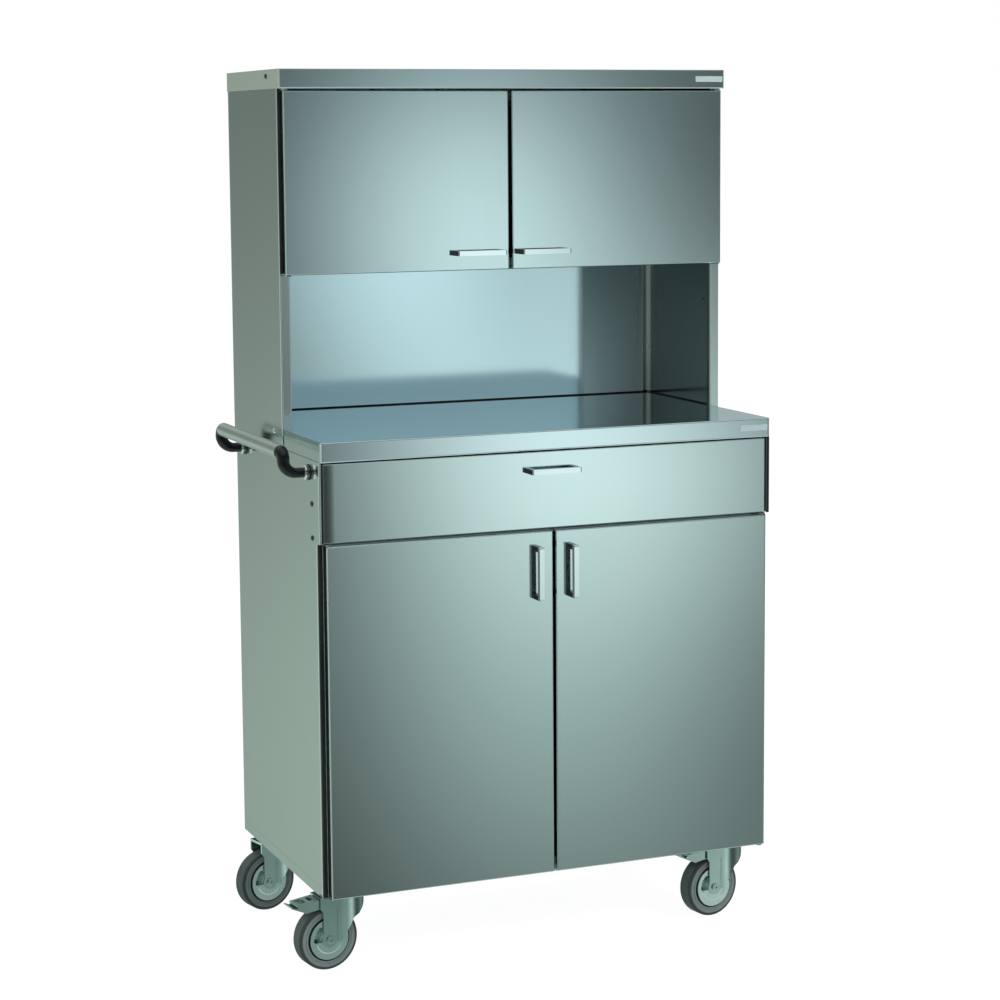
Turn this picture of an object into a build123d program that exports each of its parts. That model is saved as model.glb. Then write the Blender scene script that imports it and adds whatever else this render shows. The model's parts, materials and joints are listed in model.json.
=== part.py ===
from build123d import *
import os

# A mobile waiter station in folded stainless sheet: base cabinet with drawer and two doors,
# open niche, overhead cupboard, push bar and four swivel castors. Millimetres throughout.
# Working frame: X left to right from the middle, Y back from the lower doors' front faces,
# Z up from the floor. Every solid is moved to the frame of the finished part when it is saved.

# Overall size and sheet
WORKTOP_WIDTH = 960.0
WORKTOP_DEPTH = 570.0
WORKTOP_HEIGHT = 1050.0
TOTAL_HEIGHT = 1755.0
EDGE_HEIGHT = 38.0
SHEET = 1.2
WORKTOP_SHEET = 1.5
BEND = 2.5
CORNER = 6.0
HEM = 12.0
SIDE = WORKTOP_WIDTH / 2 + SHEET
INNER = SIDE - SHEET

# Base cabinet
BASE_BOTTOM = 158.0
BASE_BACK = 556.0
BASE_TOP = WORKTOP_HEIGHT - EDGE_HEIGHT
BACK_FLANGE = 15.0
DOOR_FRAME_Y = 23.0
DOOR_FRAME_WIDTH = 26.0
DRAWER_FRAME_Y = 6.0
DRAWER_FRAME_WIDTH = 6.2
FRAME_STEP = 855.0
TOP_FLANGE = 20.0
TOP_FLANGE_Y = (30.0, 516.0)
FLOOR_HEIGHT = 26.0
RAIL_WIDTH = 114.0
RAIL_SHEET = 2.0
RAIL_Y = (30.0, 548.0)
DIVIDER_HEIGHT = 26.0
STIFFENER_HALF = 440.0
STIFFENER_WIDTH = 60.0
STIFFENER_DEPTH = 22.0
STIFFENER_Y = (110.0, 400.0)
SHELF_TOP = 520.0
SHELF_HEIGHT = 22.0
SHELF_SIDE_GAP = 4.0
SHELF_Y = (40.0, 545.0)
PEG_RADIUS = 4.0
PEG_LENGTH = 11.0
PEG_Y = (90.0, 490.0)

# Doors
DOOR_EDGE = 471.0
DOOR_GAP = 3.6
DOOR_BOTTOM = 161.0
DOOR_TOP = 851.5
DOOR_THICK = 18.0
DOOR_HEM = 14.0
LINER_LAP = 5.0
FRONT_RADIUS = 1.8
DOOR_PIVOT_INSET = 8.0
PIN_RADIUS = 3.0
PIN_CLEARANCE = 0.05
PIN_LENGTH = 8.0
SOCKET_RADIUS = 4.6
LUG_THICK = 2.0
LUG_HALF_WIDTH = 6.5
LUG_GAP = 0.6

# Handles: a square bar bent to a D, 96 mm between the feet
HANDLE_PITCH = 96.0
HANDLE_BAR = 10.0
HANDLE_REACH = 26.0
HANDLE_OUTER_BEND = 3.0
HANDLE_INNER_BEND = 1.5
LOWER_HANDLE_X = 37.0
LOWER_HANDLE_Z = 770.0
UPPER_HANDLE_X = 70.5
UPPER_HANDLE_Z = 1390.0
DRAWER_HANDLE_Z = 971.0

# Drawer and its telescopic runners
DRAWER_EDGE = 474.0
DRAWER_FRONT_Y = 8.0
DRAWER_BOTTOM = 855.5
DRAWER_TOP = 1009.0
PACKER = 6.4
RUNNER_WIDTH = 12.7
RUNNER_LENGTH = 500.0
RUNNER_FRONT = 30.0
RUNNER_BOTTOM = 905.0
RUNNER_HEIGHT = 45.0
RUNNER_STEP = 4.2
BOX_SIDE = INNER - PACKER - RUNNER_WIDTH
BOX_BACK = 505.0
BOX_BOTTOM = 868.0
BOX_TOP = 992.0
BOX_LIP = 6.0
BOX_LIP_DEPTH = 3.0

# Hutch
HUTCH_FRAME_Y = 230.5
HUTCH_FRAME_WIDTH = 20.0
HUTCH_LIP = 14.0
HUTCH_FLOOR_HEIGHT = 22.0
CAP_FRONT_Y = 212.0
CAP_RADIUS = 2.0
HUTCH_DOOR_EDGE = 475.5
HUTCH_DOOR_Y = 212.0
HUTCH_DOOR_THICK = 15.0
HUTCH_DOOR_GAP = 5.0
HUTCH_DOOR_BOTTOM = 1355.0
HUTCH_DOOR_TOP = 1713.0
HUTCH_PIVOT_INSET = 6.5
HUTCH_FLOOR_TOP = HUTCH_DOOR_BOTTOM + HUTCH_FLOOR_HEIGHT
CAP_TUCK = 10.0

# Push bar on the left side
PUSH_TUBE_RADIUS = 14.0
PUSH_TUBE_WALL = 1.5
PUSH_REACH = 50.0
PUSH_DROP = 40.0
PUSH_TUBE_Z = 1027.0
PUSH_Y = (70.0, 495.0)
ELBOW_RADIUS = PUSH_TUBE_RADIUS - PUSH_TUBE_WALL - 0.05
ELBOW_FOOT_RADIUS = 9.7
ELBOW_TURN = 14.5
SPIGOT_LENGTH = 22.0
COLLAR_RADIUS = 14.5
COLLAR_LENGTH = 9.4
COLLAR_GROOVE = (4.0, 0.8, 1.0)
SPANNER_HOLE_RADIUS = 1.4
SPANNER_HOLE_DEPTH = 1.6
WASHER_RADIUS = 15.3
WASHER_THICK = 1.6

# Castors
WHEEL_RADIUS = 62.5
TREAD_HALF = 16.5
SHOULDER = 4.0
TYRE_GROOVE = (49.0, 1.4, 0.8)
RIM_RADIUS = 43.0
RIM_HALF = 14.5
WEB_HALF = 5.0
HUB_RADIUS = 13.0
HUB_HALF = 19.0
AXLE_RADIUS = 6.0
AXLE_NUT = 8.5
BOLT_HEAD_RADIUS = 8.0
BOLT_HEAD = 3.5
BOLT_SOCKET = (3.2, 2.0)
TRAIL = 38.0
CASTOR_X = 421.0
CASTOR_Y = (88.0, 500.0)
PLATE = (105.0, 85.0, 3.0)
PLATE_SLOT_PITCH = (80.0, 60.0)
FORK_TOP = 149.0
CROWN_THICK = 5.0
CROWN_RADIUS = 34.0
LEG_OUTER = 24.0
LEG_INNER = 20.5
LEG_BACK = -58.0
LEG_END_RADIUS = 16.0
LEG_PAD = -22.0
LEG_PAD_TOP = 124.0
LEG_PAD_DEPTH = 0.8
NOSE_START = -14.0
NOSE_LENGTH = 60.0
GUARD_RADIUS = 41.0
GUARD_FLAT = 27.0
GUARD_WINDOW = 33.0
GUARD_THICK = 1.0
KING_PIN_RADIUS = 6.0
RACE_RADIUS = 26.0
RACE_GAP = 0.6
CUP_RADIUS = 31.5
CUP_DEPTH = 3.0
PEDAL_PIVOT = (-50.0, 134.0)
PEDAL_PIN_RADIUS = 2.5
PEDAL_HALF = 19.6
PEDAL_WINDOWS = ((-92.0, 15.0, 26.0), (-72.0, 9.0, 22.0))
REST_ANGLES = {"front_left": 7.0, "front_right": 10.0, "rear_left": 13.0, "rear_right": 9.0}

# Origin of the finished part: middle of its box, on the floor
CAP_SIDE = SIDE + SHEET
CAP_BACK = WORKTOP_DEPTH + SHEET
PUSH_X = -(SIDE + PUSH_REACH)
ORIGIN_X = (PUSH_X - PUSH_TUBE_RADIUS + CAP_SIDE) / 2
ORIGIN_Y = (-HANDLE_REACH + CAP_BACK) / 2


def span(x0, x1, y0, y1, z0, z1):
    """A block between two corners."""
    middle = Pos((x0 + x1) / 2, (y0 + y1) / 2, (z0 + z1) / 2)
    return middle * Box(x1 - x0, y1 - y0, z1 - z0)


def folded(points, z0, z1):
    """Sheet folded along a path seen from above, with its thickness to the left of the path."""
    path = FilletPolyline(*points, radius=BEND)
    outline = offset(path, amount=SHEET, side=Side.LEFT)
    section = make_face(outline.edges())
    return Pos(0, 0, z0) * extrude(section, amount=z1 - z0)


def pan(x0, x1, y0, y1, z0, z1):
    """A flat deck with its four edges turned down and its corners eased."""
    block = span(x0, x1, y0, y1, z0, z1)
    block = fillet(block.edges().filter_by(Axis.Z), BEND - 0.5)
    return block - span(x0 + SHEET, x1 - SHEET, y0 + SHEET, y1 - SHEET, z0 - 1, z1 - SHEET)


def channel(x0, x1, y0, y1, z0, z1, sheet):
    """A channel along Y, open upwards."""
    block = span(x0, x1, y0, y1, z0, z1)
    return block - span(x0 + sheet, x1 - sheet, y0 - 1, y1 + 1, z0 + sheet, z1 + 1)


def mirrored(shape):
    return mirror(shape, about=Plane.YZ)


def upright(radius, x, y, z0, z1):
    """A round bar standing on z0."""
    return Pos(x, y, (z0 + z1) / 2) * Cylinder(radius, z1 - z0)


def crosswise(radius, x, z, y0, y1):
    """A round bar along Y."""
    return Pos(x, (y0 + y1) / 2, z) * Rot(90, 0, 0) * Cylinder(radius, y1 - y0)


def sideways(radius, y, z, x0, x1):
    """A round bar along X."""
    return Pos((x0 + x1) / 2, y, z) * Rot(0, 90, 0) * Cylinder(radius, x1 - x0)


# Base cabinet

def base_side():
    """Left panel. Its front edge is folded in, and steps forward at the height of the drawer."""
    rear = [(BACK_FLANGE - SIDE, BASE_BACK - SHEET), (-SIDE, BASE_BACK - SHEET)]
    low = rear + [(-SIDE, DOOR_FRAME_Y), (DOOR_FRAME_WIDTH - SIDE, DOOR_FRAME_Y)]
    high = rear + [(-SIDE, DRAWER_FRAME_Y), (DRAWER_FRAME_WIDTH - SIDE, DRAWER_FRAME_Y)]
    side = folded(low, BASE_BOTTOM, FRAME_STEP) + folded(high, FRAME_STEP, BASE_TOP)
    flange = span(-INNER, TOP_FLANGE - SIDE, *TOP_FLANGE_Y, BASE_TOP - SHEET, BASE_TOP)
    return side + flange


def base_back():
    return span(-SIDE, SIDE, BASE_BACK - SHEET, BASE_BACK, BASE_BOTTOM, BASE_TOP)


def base_floor():
    front = DOOR_FRAME_Y + SHEET
    return pan(-INNER, INNER, front, BASE_BACK - 2 * SHEET, BASE_BOTTOM, BASE_BOTTOM + FLOOR_HEIGHT)


def caster_rails():
    """Channels under the floor that take the castor plates."""
    outer = INNER - 2 * SHEET
    top = BASE_BOTTOM + FLOOR_HEIGHT - SHEET
    left = channel(-outer, RAIL_WIDTH - outer, *RAIL_Y, BASE_BOTTOM, top, RAIL_SHEET)
    return [left, mirrored(left)]


def drawer_divider():
    """Deck between the drawer and the cupboard."""
    front = DOOR_FRAME_Y + SHEET
    return pan(-INNER, INNER, front, BASE_BACK - 2 * SHEET, FRAME_STEP - DIVIDER_HEIGHT, FRAME_STEP)


def base_shelf():
    half = INNER - SHELF_SIDE_GAP
    return pan(-half, half, SHELF_Y[0], SHELF_Y[1], SHELF_TOP - SHELF_HEIGHT, SHELF_TOP)


def shelf_pegs():
    z = SHELF_TOP - SHELF_HEIGHT - PEG_RADIUS
    left = [sideways(PEG_RADIUS, y, z, -INNER, PEG_LENGTH - INNER) for y in PEG_Y]
    return left + [mirrored(peg) for peg in left]


def worktop():
    """Pan with rounded corners, its edge turned down and returned under."""
    half = WORKTOP_WIDTH / 2
    block = span(-half, half, 0, WORKTOP_DEPTH, BASE_TOP, WORKTOP_HEIGHT)
    front = block.edges().filter_by(Axis.Z).group_by(Axis.Y)[0]
    block = fillet(front, CORNER)
    block = fillet(block.faces().sort_by(Axis.Z)[-1].edges(), BEND)
    inner = half - WORKTOP_SHEET
    back = WORKTOP_DEPTH - WORKTOP_SHEET
    z0 = BASE_TOP + WORKTOP_SHEET
    hollow = span(-inner, inner, WORKTOP_SHEET, back, z0, WORKTOP_HEIGHT - WORKTOP_SHEET)
    hollow = fillet(hollow.edges().filter_by(Axis.Z).group_by(Axis.Y)[0], CORNER - WORKTOP_SHEET)
    mouth = span(HEM - half, half - HEM, HEM, WORKTOP_DEPTH - HEM, BASE_TOP - 1, z0 + 1)
    return block - hollow - mouth


def worktop_stiffeners():
    """Hat channels along the underside of the worktop."""
    top = WORKTOP_HEIGHT - WORKTOP_SHEET
    bars = []
    for y0 in STIFFENER_Y:
        y1 = y0 + STIFFENER_WIDTH
        z0 = top - STIFFENER_DEPTH
        bar = span(-STIFFENER_HALF, STIFFENER_HALF, y0, y1, z0, top)
        hollow = span(-STIFFENER_HALF - 1, STIFFENER_HALF + 1, y0 + SHEET, y1 - SHEET, z0 + SHEET, top + 1)
        bars.append(bar - hollow)
    return bars


# Doors, their handles and the lugs they hang on

def folded_front(x0, x1, y0, thick, z0, z1, hem):
    """A skin folded from sheet: flat face, four returned edges and a hem behind them."""
    y1 = y0 + thick
    body = span(x0, x1, y0, y1, z0, z1)
    body = fillet(body.faces().sort_by(Axis.Y)[0].edges(), FRONT_RADIUS)
    body -= span(x0 + SHEET, x1 - SHEET, y0 + SHEET, y1 - SHEET, z0 + SHEET, z1 - SHEET)
    return body - span(x0 + hem, x1 - hem, y1 - 2 * SHEET, y1 + 1, z0 + hem, z1 - hem)


def door_skin(edge, gap, y0, thick, z0, z1, inset):
    """Left door, with a socket for the pivot pin inside its top and its bottom edge."""
    skin = folded_front(-edge, -gap / 2, y0, thick, z0, z1, DOOR_HEM)
    x = inset - edge
    y = y0 + thick / 2
    for end, inward in ((z1, -1), (z0, 1)):
        low, high = sorted((end, end + inward * (PIN_LENGTH + 2)))
        skin += upright(SOCKET_RADIUS, x, y, low, high)
        skin -= upright(PIN_RADIUS + PIN_CLEARANCE, x, y, low - 1, high + 1)
    return skin


def door_liner(edge, gap, y0, thick, z0, z1):
    """Flat panel that closes the back of a door, lying behind its hem."""
    y1 = y0 + thick - SHEET
    cover = DOOR_HEM - LINER_LAP
    return span(cover - edge, -gap / 2 - cover, y1 - SHEET, y1, z0 + cover, z1 - cover)


def door_parts(edge, gap, y0, thick, z0, z1, inset):
    return door_skin(edge, gap, y0, thick, z0, z1, inset), door_liner(edge, gap, y0, thick, z0, z1)


def bar_handle():
    """Handle along X with its feet on the plane Y = 0."""
    half = (HANDLE_PITCH + HANDLE_BAR) / 2
    side = HANDLE_BAR / 2
    bar = span(-half, half, -HANDLE_REACH, 0, -side, side)
    bar -= span(HANDLE_BAR - half, half - HANDLE_BAR, HANDLE_BAR - HANDLE_REACH, 1, -side - 1, side + 1)
    bar = fillet(bar.edges().filter_by(Axis.Z).group_by(Axis.Y)[0], HANDLE_OUTER_BEND)
    back = HANDLE_BAR - HANDLE_REACH
    inside = bar.edges().filter_by(Axis.Z).filter_by_position(Axis.Y, back - 0.1, back + 0.1)
    return fillet(inside, HANDLE_INNER_BEND)


def hinge_lug(x, y, frame_y, z, up):
    """A lug welded to the frame, with a pin that stands up into the door or hangs down into it."""
    plate = span(x - LUG_HALF_WIDTH, x + LUG_HALF_WIDTH, y, frame_y, z, z + LUG_THICK)
    plate += upright(LUG_HALF_WIDTH, x, y, z, z + LUG_THICK)
    low, high = (z, z + LUG_THICK + PIN_LENGTH) if up else (z - PIN_LENGTH, z + LUG_THICK)
    return plate + upright(PIN_RADIUS, x, y, low, high)


def hinge_lugs(edge, inset, y, frame_y, z0, z1):
    """Lugs below and above both doors of a cupboard."""
    x = inset - edge
    left = [hinge_lug(x, y, frame_y, z0 - LUG_GAP - LUG_THICK, True),
            hinge_lug(x, y, frame_y, z1 + LUG_GAP, False)]
    return left + [mirrored(lug) for lug in left]


# Drawer

def drawer_front():
    return folded_front(-DRAWER_EDGE, DRAWER_EDGE, DRAWER_FRONT_Y, DOOR_THICK,
                        DRAWER_BOTTOM, DRAWER_TOP, DOOR_HEM)


def drawer_box():
    """Open box with a lip folded in round its top."""
    front = DRAWER_FRONT_Y + DOOR_THICK
    box = span(-BOX_SIDE, BOX_SIDE, front, BOX_BACK, BOX_BOTTOM, BOX_TOP)
    inner = BOX_SIDE - SHEET
    box -= span(-inner, inner, front + SHEET, BOX_BACK - SHEET, BOX_BOTTOM + SHEET, BOX_TOP - SHEET)
    mouth = BOX_SIDE - BOX_LIP
    z0 = BOX_TOP - BOX_LIP_DEPTH
    return box - span(-mouth, mouth, front + BOX_LIP, BOX_BACK - BOX_LIP, z0, BOX_TOP + 1)


def runner_member(web, flange, step, y0, y1, facing):
    """A C-shaped runner member on the left side, between two distances from the packer."""
    x0 = PACKER - INNER
    z0 = RUNNER_BOTTOM + step
    z1 = RUNNER_BOTTOM + RUNNER_HEIGHT - step
    low, high = sorted((web, flange))
    member = span(x0 + low, x0 + high, y0, y1, z0, z1)
    if facing > 0:
        hollow = span(x0 + low + SHEET, x0 + high + 1, y0 - 1, y1 + 1, z0 + SHEET, z1 - SHEET)
    else:
        hollow = span(x0 + low - 1, x0 + high - SHEET, y0 - 1, y1 + 1, z0 + SHEET, z1 - SHEET)
    return member - hollow


def runner_outer():
    """Member screwed to the cabinet."""
    return runner_member(0, 10.5, 0, RUNNER_FRONT, RUNNER_FRONT + RUNNER_LENGTH, 1)


def runner_middle():
    """Member that travels half as far as the drawer."""
    return runner_member(2.2, 9.6, RUNNER_STEP, RUNNER_FRONT + 4, RUNNER_FRONT + 460, 1)


def runner_inner():
    """Member screwed to the side of the drawer box."""
    return runner_member(RUNNER_WIDTH, 4.4, 2 * RUNNER_STEP, RUNNER_FRONT, RUNNER_FRONT + 470, -1)


def runner_packers():
    """Strips that bring the runners inside the folded front edge of the side panels."""
    z0 = RUNNER_BOTTOM + 5
    z1 = RUNNER_BOTTOM + RUNNER_HEIGHT - 5
    left = span(-INNER, PACKER - INNER, RUNNER_FRONT, RUNNER_FRONT + RUNNER_LENGTH, z0, z1)
    return [left, mirrored(left)]


# Hutch

def hutch_side():
    """Left panel, folded in at front and back. A lip stiffens its front edge beside the niche."""
    rear = [(BACK_FLANGE - SIDE, WORKTOP_DEPTH - SHEET), (-SIDE, WORKTOP_DEPTH - SHEET)]
    front = rear + [(-SIDE, HUTCH_FRAME_Y), (HUTCH_FRAME_WIDTH - SIDE, HUTCH_FRAME_Y)]
    lipped = front + [(HUTCH_FRAME_WIDTH - SIDE, HUTCH_FRAME_Y + HUTCH_LIP)]
    split = HUTCH_FLOOR_TOP - HUTCH_FLOOR_HEIGHT
    skirt = span(-SIDE, -INNER, HUTCH_FRAME_Y, WORKTOP_DEPTH - SHEET, BASE_TOP, WORKTOP_HEIGHT)
    top = TOTAL_HEIGHT - EDGE_HEIGHT
    head_top = TOTAL_HEIGHT - CAP_TUCK
    head = span(-SIDE, -INNER, HUTCH_FRAME_Y + BEND, WORKTOP_DEPTH - SHEET, top, head_top)
    return skirt + folded(lipped, WORKTOP_HEIGHT, split) + folded(front, split, top) + head


def hutch_back():
    top = TOTAL_HEIGHT - CAP_TUCK
    return span(-SIDE, SIDE, WORKTOP_DEPTH - SHEET, WORKTOP_DEPTH, WORKTOP_HEIGHT, top)


def hutch_floor():
    z0 = HUTCH_FLOOR_TOP - HUTCH_FLOOR_HEIGHT
    back = WORKTOP_DEPTH - 2 * SHEET
    return pan(-INNER, INNER, HUTCH_FRAME_Y + SHEET, back, z0, HUTCH_FLOOR_TOP)


def hutch_cap():
    """Boxed cap that laps over the panels, with a flange under its front edge."""
    z0 = TOTAL_HEIGHT - EDGE_HEIGHT
    block = span(-CAP_SIDE, CAP_SIDE, CAP_FRONT_Y, CAP_BACK, z0, TOTAL_HEIGHT)
    corners = block.edges().filter_by(Axis.Z).group_by(Axis.Y)[0]
    block = fillet(corners, CAP_RADIUS)
    block = fillet(block.faces().sort_by(Axis.Z)[-1].edges(), CAP_RADIUS - 0.4)
    front = CAP_FRONT_Y + SHEET
    block -= span(-SIDE, SIDE, front, WORKTOP_DEPTH, z0 + SHEET, TOTAL_HEIGHT - SHEET)
    return block - span(-SIDE, SIDE, HUTCH_FRAME_Y, WORKTOP_DEPTH, z0 - 1, z0 + SHEET + 1)


# Push bar

def push_bar_tube():
    y0 = PUSH_Y[0] + ELBOW_TURN
    y1 = PUSH_Y[1] - ELBOW_TURN
    tube = crosswise(PUSH_TUBE_RADIUS, PUSH_X, PUSH_TUBE_Z, y0, y1)
    return tube - crosswise(PUSH_TUBE_RADIUS - PUSH_TUBE_WALL, PUSH_X, PUSH_TUBE_Z, y0 - 1, y1 + 1)


def push_bar_elbow():
    """Front elbow: a spigot in the tube, a tight turn downwards, and a taper that bends to the panel."""
    y = PUSH_Y[0]
    mouth = y + ELBOW_TURN
    top = PUSH_TUBE_Z - ELBOW_TURN
    foot = PUSH_TUBE_Z - PUSH_DROP
    bend_end = PUSH_X + PUSH_DROP - ELBOW_TURN
    spigot = crosswise(ELBOW_RADIUS, PUSH_X, PUSH_TUBE_Z, mouth, mouth + SPIGOT_LENGTH)
    turn = TangentArc((PUSH_X, mouth, PUSH_TUBE_Z), (PUSH_X, y, top), tangent=(0, -1, 0))
    round_end = Plane(origin=(PUSH_X, mouth, PUSH_TUBE_Z), z_dir=(0, -1, 0)) * Circle(ELBOW_RADIUS)
    bend = TangentArc((PUSH_X, y, top), (bend_end, y, foot), tangent=(0, 0, -1))
    thick_end = Plane(origin=(PUSH_X, y, top), z_dir=(0, 0, -1)) * Circle(ELBOW_RADIUS)
    thin_end = Plane(origin=(bend_end, y, foot), z_dir=(1, 0, 0)) * Circle(ELBOW_FOOT_RADIUS)
    arm = sweep([thick_end, thin_end], path=bend, multisection=True)
    straight = sideways(ELBOW_FOOT_RADIUS, y, foot, bend_end, -SIDE - WASHER_THICK - COLLAR_LENGTH)
    return spigot + sweep(round_end, path=turn) + arm + straight


def push_bar_elbows():
    front = push_bar_elbow()
    middle = Plane.XZ.offset(-sum(PUSH_Y) / 2)
    return [front, mirror(front, about=middle)]


def push_bar_collar(y):
    """Ring with a groove and four spanner holes."""
    z = PUSH_TUBE_Z - PUSH_DROP
    x1 = -SIDE - WASHER_THICK
    x0 = x1 - COLLAR_LENGTH
    start, width, depth = COLLAR_GROOVE
    ring = sideways(COLLAR_RADIUS, y, z, x0, x1)
    ring = chamfer(ring.edges().filter_by(GeomType.CIRCLE).sort_by(Axis.X)[0], 0.8)
    groove = sideways(COLLAR_RADIUS + 1, y, z, x0 + start, x0 + start + width)
    ring -= groove - sideways(COLLAR_RADIUS - depth, y, z, x0, x1)
    hole = upright(SPANNER_HOLE_RADIUS, 0, 0, COLLAR_RADIUS - SPANNER_HOLE_DEPTH, COLLAR_RADIUS + 1)
    for turn in (45, 135, 225, 315):
        ring -= Pos((x0 + start + width + x1) / 2, y, z) * Rot(turn, 0, 0) * hole
    return ring


def push_bar_collars():
    return [push_bar_collar(y) for y in PUSH_Y]


def push_bar_washers():
    z = PUSH_TUBE_Z - PUSH_DROP
    return [sideways(WASHER_RADIUS, y, z, -SIDE - WASHER_THICK, -SIDE) for y in PUSH_Y]


# Castors, each built round its own king pin with the wheel trailing towards -X

def caster_plate():
    """Mounting plate with four slots, the upper ball race and the king pin."""
    length, width, thick = PLATE
    z0 = BASE_BOTTOM - thick
    outline = RectangleRounded(length, width, 8)
    slots = GridLocations(PLATE_SLOT_PITCH[0], PLATE_SLOT_PITCH[1], 2, 2) * SlotOverall(14, 9)
    outline -= slots
    plate = Pos(0, 0, z0) * extrude(outline, amount=thick)
    race_z = FORK_TOP + RACE_GAP
    race = [(0, z0), (RACE_RADIUS + 2, z0), (RACE_RADIUS, z0 - 2.5), (RACE_RADIUS, race_z),
            (KING_PIN_RADIUS, race_z), (KING_PIN_RADIUS, FORK_TOP - CROWN_THICK - 0.3),
            (10, FORK_TOP - CROWN_THICK - 0.3), (10, FORK_TOP - CROWN_THICK - 4.5),
            (0, FORK_TOP - CROWN_THICK - 4.5)]
    section = Plane.XZ * make_face(Polyline(*race, close=True))
    return plate + revolve(section, axis=Axis.Z)


def fork_plan(half, nose, back):
    """Fork seen from above: straight sides and a long rounded nose."""
    length = NOSE_START - back
    straight = Pos(NOSE_START - length / 2, 0) * Rectangle(length, 2 * half)
    front = Pos(NOSE_START + nose / 2, 0) * Rectangle(nose, 2 * half)
    return straight + (Pos(NOSE_START, 0) * Ellipse(nose, half) & front)


def fork_walls():
    """Two legs joined by the nose, cut to the fork's outline seen from the side, with a sunk pad on each."""
    inside = fork_plan(LEG_INNER, NOSE_LENGTH - LEG_OUTER + LEG_INNER, LEG_BACK - 1)
    walls = extrude(fork_plan(LEG_OUTER, NOSE_LENGTH, LEG_BACK) - inside, amount=FORK_TOP)
    front = [(47, FORK_TOP), (47, 130), (39, 114), (29, 104), (15, 98), (5, 80), (-14, 57)]
    rear = [(-51, 57), (-52, 118), (LEG_BACK, 126), (LEG_BACK, FORK_TOP)]
    outline = make_face(Polyline(*front, *rear, close=True))
    outline += Pos(-TRAIL, WHEEL_RADIUS) * Circle(LEG_END_RADIUS)
    walls &= extrude(Plane.XZ * outline, amount=LEG_OUTER + 1, both=True)
    pad = span(LEG_BACK - 1, LEG_PAD, LEG_OUTER - LEG_PAD_DEPTH, LEG_OUTER + 1, 0, LEG_PAD_TOP)
    return walls - pad - mirror(pad, about=Plane.XZ)


def thread_guard():
    """Dished disc between a leg and the wheel, with one window towards the back."""
    step = LEG_INNER - GUARD_THICK
    outside = [(0, LEG_INNER), (GUARD_FLAT, LEG_INNER), (GUARD_FLAT + 2, step), (GUARD_RADIUS, step)]
    inside = [(r, y - GUARD_THICK) for r, y in reversed(outside)]
    section = make_face(Polyline(*outside, *inside, close=True))
    disc = Pos(-TRAIL, 0, WHEEL_RADIUS) * Rot(180, 0, 0) * revolve(section, axis=Axis.Y)
    quarter = Circle(GUARD_WINDOW) & (Pos(-24, 11) * Rectangle(25, 30))
    window = Plane.XZ * (Pos(-TRAIL, WHEEL_RADIUS) * fillet(quarter.vertices(), 2.5))
    return disc - extrude(window, amount=LEG_OUTER)


def axle_ends():
    """Round bolt head with a hexagon socket on one leg, nut on the other."""
    seat = LEG_PAD_DEPTH - LEG_OUTER
    head = crosswise(BOLT_HEAD_RADIUS, -TRAIL, WHEEL_RADIUS, seat - BOLT_HEAD, seat)
    head = fillet(head.edges().sort_by(Axis.Y)[0], 1)
    radius, depth = BOLT_SOCKET
    socket = Plane.XZ.offset(BOLT_HEAD - seat) * (Pos(-TRAIL, WHEEL_RADIUS) * RegularPolygon(radius, 6))
    nut = Plane.XZ.offset(seat) * (Pos(-TRAIL, WHEEL_RADIUS) * RegularPolygon(AXLE_NUT, 6))
    return head - extrude(socket, amount=-depth) + extrude(nut, amount=-4.8)


def fork():
    """Pressed fork: crown with the lower ball race, two legs, thread guards and axle."""
    under = FORK_TOP - CROWN_THICK
    crown = upright(CROWN_RADIUS, 0, 0, under, FORK_TOP)
    crown = fillet(crown.edges().sort_by(Axis.Z)[0], 2)
    crown += Pos(0, 0, under) * extrude(fork_plan(LEG_OUTER, NOSE_LENGTH, LEG_BACK), amount=CROWN_THICK)
    cup = upright(CUP_RADIUS, 0, 0, FORK_TOP, FORK_TOP + CUP_DEPTH)
    cup -= upright(CUP_RADIUS - 2.5, 0, 0, FORK_TOP - 1, FORK_TOP + CUP_DEPTH + 1)
    guard = thread_guard()
    body = crown + cup + fork_walls() + guard + mirror(guard, about=Plane.XZ)
    body += crosswise(AXLE_RADIUS, -TRAIL, WHEEL_RADIUS, -LEG_OUTER, LEG_OUTER + 5) + axle_ends()
    return body - upright(KING_PIN_RADIUS + PIN_CLEARANCE, 0, 0, under - 1, FORK_TOP + 1)


def brake_fork():
    """Fork with the cross pin that the brake pedal turns on."""
    x, z = PEDAL_PIVOT
    return fork() + crosswise(PEDAL_PIN_RADIUS, x, z, -LEG_OUTER, LEG_OUTER)


def rim():
    """Rim and hub with five windows between them."""
    half = [(AXLE_RADIUS + PIN_CLEARANCE, HUB_HALF), (HUB_RADIUS, HUB_HALF), (HUB_RADIUS + 2, WEB_HALF + 1),
            (33, WEB_HALF), (36, RIM_HALF - 1), (RIM_RADIUS, RIM_HALF)]
    points = half + [(r, -y) for r, y in reversed(half)]
    body = revolve(make_face(Polyline(*points, close=True)), axis=Axis.Y)
    window = fillet(Trapezoid(17, 13, 75).vertices(), 3)
    cutter = extrude(Plane.XZ * (Pos(0, 24.5) * window), amount=WEB_HALF * 2, both=True)
    for index in range(5):
        body -= Rot(0, 72 * index + 36, 0) * cutter
    return Pos(-TRAIL, 0, WHEEL_RADIUS) * body


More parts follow.
